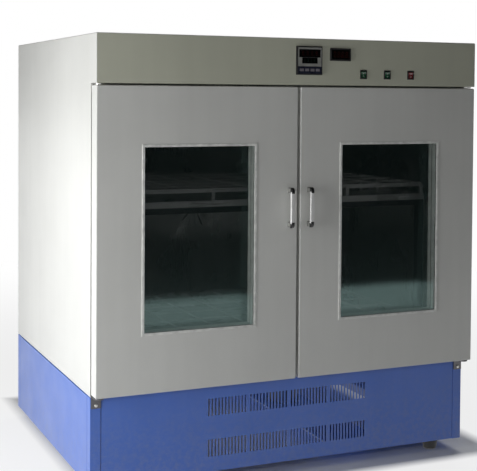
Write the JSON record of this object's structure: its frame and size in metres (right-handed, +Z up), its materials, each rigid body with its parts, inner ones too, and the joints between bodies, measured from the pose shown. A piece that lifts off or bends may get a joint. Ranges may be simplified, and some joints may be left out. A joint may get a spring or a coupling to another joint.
{
  "type": "shaking incubator",
  "caption": "Floor-standing shaking incubator: insulated cabinet with glazed double doors, header controls, orbiting spring-rack trays and a louvred machine base.",
  "frame": {"origin": "on the floor, midway between the outermost sides, handles and power inlet", "axes": "+X to the right seen from the front, -Y out of the doors, +Z up"},
  "size_m": [1.4, 1.123, 1.48],
  "materials": {
    "white_paint": "satin off-white powder coat",
    "blue_paint": "satin blue powder coat",
    "stainless_steel": "brushed",
    "bright_steel": "bright polished",
    "dark_steel": "dark oiled and painted steel",
    "aluminium": "machined",
    "black_plastic": "fine-grained black",
    "green_plastic": "gloss green",
    "red_plastic": "gloss red",
    "grey_plastic": "soft-touch grey",
    "black_rubber": "matt black",
    "grey_rubber": "matt grey",
    "mineral_wool": "pressed mineral wool",
    "clear_glass": "clear float glass"
  },
  "bodies": {
    "cabinet": {"air_duct_panel": "stainless_steel", "back_panel": "white_paint", "base_back_panel": "blue_paint", "base_frame": "blue_paint", "base_front_panel": "blue_paint", "base_left_panel": "blue_paint", "base_right_panel": "blue_paint", "chamber_liner": "stainless_steel", "drive_belt": "black_rubber", "drive_deck": "dark_steel", "drive_motor": "dark_steel", "fan_motor": "dark_steel", "foot_left_back": "black_rubber", "foot_left_front": "black_rubber", "foot_right_back": "black_rubber", "foot_right_front": "black_rubber", "header_fascia": "white_paint", "heater_element": "stainless_steel", "hinge_bracket_left_bottom": "bright_steel", "hinge_bracket_left_top": "bright_steel", "hinge_bracket_right_bottom": "bright_steel", "hinge_bracket_right_top": "bright_steel", "insulation": "mineral_wool", "outer_case": "white_paint", "power_inlet": "black_plastic", "speed_display": "black_plastic", "switch_bezel_heater": "black_plastic", "switch_bezel_power": "black_plastic", "switch_bezel_shaker": "black_plastic", "temperature_controller": "black_plastic"},
    "left_door": {"door_shell_left": "white_paint", "door_liner_left": "stainless_steel", "outer_glass_left": "clear_glass", "inner_glass_left": "clear_glass", "door_gasket_left": "grey_rubber", "door_handle_left": "bright_steel"},
    "right_door": {"door_shell_right": "white_paint", "door_liner_right": "stainless_steel", "outer_glass_right": "clear_glass", "inner_glass_right": "clear_glass", "door_gasket_right": "grey_rubber", "door_handle_right": "bright_steel"},
    "platform": {"platform_frame": "aluminium", "lower_tray": "stainless_steel", "upper_tray": "stainless_steel", "lower_spring_net": "bright_steel", "upper_spring_net": "bright_steel"},
    "main_crank": {"main_crank": "bright_steel", "main_pulley": "aluminium"},
    "idler_crank_left": {"idler_crank_left": "bright_steel"},
    "idler_crank_right": {"idler_crank_right": "bright_steel"},
    "motor_pulley": {"motor_pulley": "aluminium"},
    "fan_impeller": {"fan_impeller": "aluminium"},
    "power_rocker": {"switch_rocker_power": "green_plastic"},
    "shaker_rocker": {"switch_rocker_shaker": "green_plastic"},
    "heater_rocker": {"switch_rocker_heater": "red_plastic"},
    "key_1": {"controller_key_1": "grey_plastic"},
    "key_2": {"controller_key_2": "grey_plastic"},
    "key_3": {"controller_key_3": "grey_plastic"},
    "key_4": {"controller_key_4": "grey_plastic"}
  },
  "joints": [
    {"name": "left_door_hinge", "type": "hinge", "parent": "cabinet", "child": "left_door", "pos_m": [-0.682, -0.5035, 0.34], "axis": [0, 0, -1], "range_deg": [0, 110]},
    {"name": "right_door_hinge", "type": "hinge", "parent": "cabinet", "child": "right_door", "pos_m": [0.682, -0.5035, 0.34], "axis": [0, 0, 1], "range_deg": [0, 110]},
    {"name": "platform_orbit", "type": "hinge", "parent": "main_crank", "child": "platform", "pos_m": [0, 0.121, 0.4037], "axis": [0, 0, 1], "continuous": true},
    {"name": "main_crank_spin", "type": "hinge", "parent": "cabinet", "child": "main_crank", "pos_m": [0, 0.131, 0.3], "axis": [0, 0, 1], "continuous": true},
    {"name": "idler_left_spin", "type": "hinge", "parent": "cabinet", "child": "idler_crank_left", "pos_m": [-0.38, -0.149, 0.3], "axis": [0, 0, 1], "continuous": true},
    {"name": "idler_right_spin", "type": "hinge", "parent": "cabinet", "child": "idler_crank_right", "pos_m": [0.38, -0.149, 0.3], "axis": [0, 0, 1], "continuous": true},
    {"name": "motor_pulley_spin", "type": "hinge", "parent": "cabinet", "child": "motor_pulley", "pos_m": [0.27, 0.131, 0.252], "axis": [0, 0, 1], "continuous": true},
    {"name": "fan_spin", "type": "hinge", "parent": "cabinet", "child": "fan_impeller", "pos_m": [0, 0.4325, 0.83], "axis": [0, -1, 0], "continuous": true},
    {"name": "power_rocker_tilt", "type": "hinge", "parent": "cabinet", "child": "power_rocker", "pos_m": [0.2425, -0.5265, 1.362], "axis": [-1, 0, 0], "range_deg": [0, 18]},
    {"name": "shaker_rocker_tilt", "type": "hinge", "parent": "cabinet", "child": "shaker_rocker", "pos_m": [0.3365, -0.5265, 1.362], "axis": [-1, 0, 0], "range_deg": [0, 18]},
    {"name": "heater_rocker_tilt", "type": "hinge", "parent": "cabinet", "child": "heater_rocker", "pos_m": [0.4305, -0.5265, 1.362], "axis": [-1, 0, 0], "range_deg": [0, 18]},
    {"name": "key_1_press", "type": "slide", "parent": "cabinet", "child": "key_1", "axis": [0, 1, 0], "range_m": [0, 0.001], "stiffness_N_per_m": 300},
    {"name": "key_2_press", "type": "slide", "parent": "cabinet", "child": "key_2", "axis": [0, 1, 0], "range_m": [0, 0.001], "stiffness_N_per_m": 300},
    {"name": "key_3_press", "type": "slide", "parent": "cabinet", "child": "key_3", "axis": [0, 1, 0], "range_m": [0, 0.001], "stiffness_N_per_m": 300},
    {"name": "key_4_press", "type": "slide", "parent": "cabinet", "child": "key_4", "axis": [0, 1, 0], "range_m": [0, 0.001], "stiffness_N_per_m": 300}
  ],
  "couplings": [
    {"joint": "main_crank_spin", "follows": "platform_orbit", "ratio": -1},
    {"joint": "idler_left_spin", "follows": "platform_orbit", "ratio": -1},
    {"joint": "idler_right_spin", "follows": "platform_orbit", "ratio": -1},
    {"joint": "motor_pulley_spin", "follows": "platform_orbit", "ratio": -4}
  ]
}
